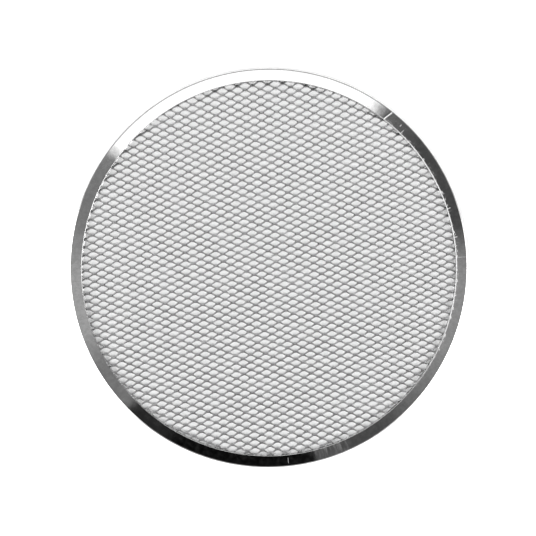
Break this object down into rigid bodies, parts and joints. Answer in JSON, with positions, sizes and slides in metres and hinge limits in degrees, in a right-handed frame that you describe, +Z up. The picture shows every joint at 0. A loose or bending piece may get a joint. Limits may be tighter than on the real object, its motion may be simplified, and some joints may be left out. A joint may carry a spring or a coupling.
{
  "type": "pizza screen",
  "caption": "Round flat baking screen: a disc of raised expanded metal mesh whose edge is held all round in a folded, polished metal rim.",
  "frame": {"origin": "middle of the disc, on the flat surface that the rim rests on", "axes": "+Z up through the disc; +X to the right of the picture, close to the long way of the mesh; +Y to its top"},
  "size_m": [0.3048, 0.3048, 0.0034],
  "materials": {
    "rim_strip": "bright rolled strip, polished on its flat flanges, with fine handling scratches",
    "mesh_metal": "mill finish sheet, slit and stretched, with plain cut edges"
  },
  "bodies": {
    "root": {"rim": "rim_strip", "mesh": "mesh_metal"}
  },
  "joints": []
}
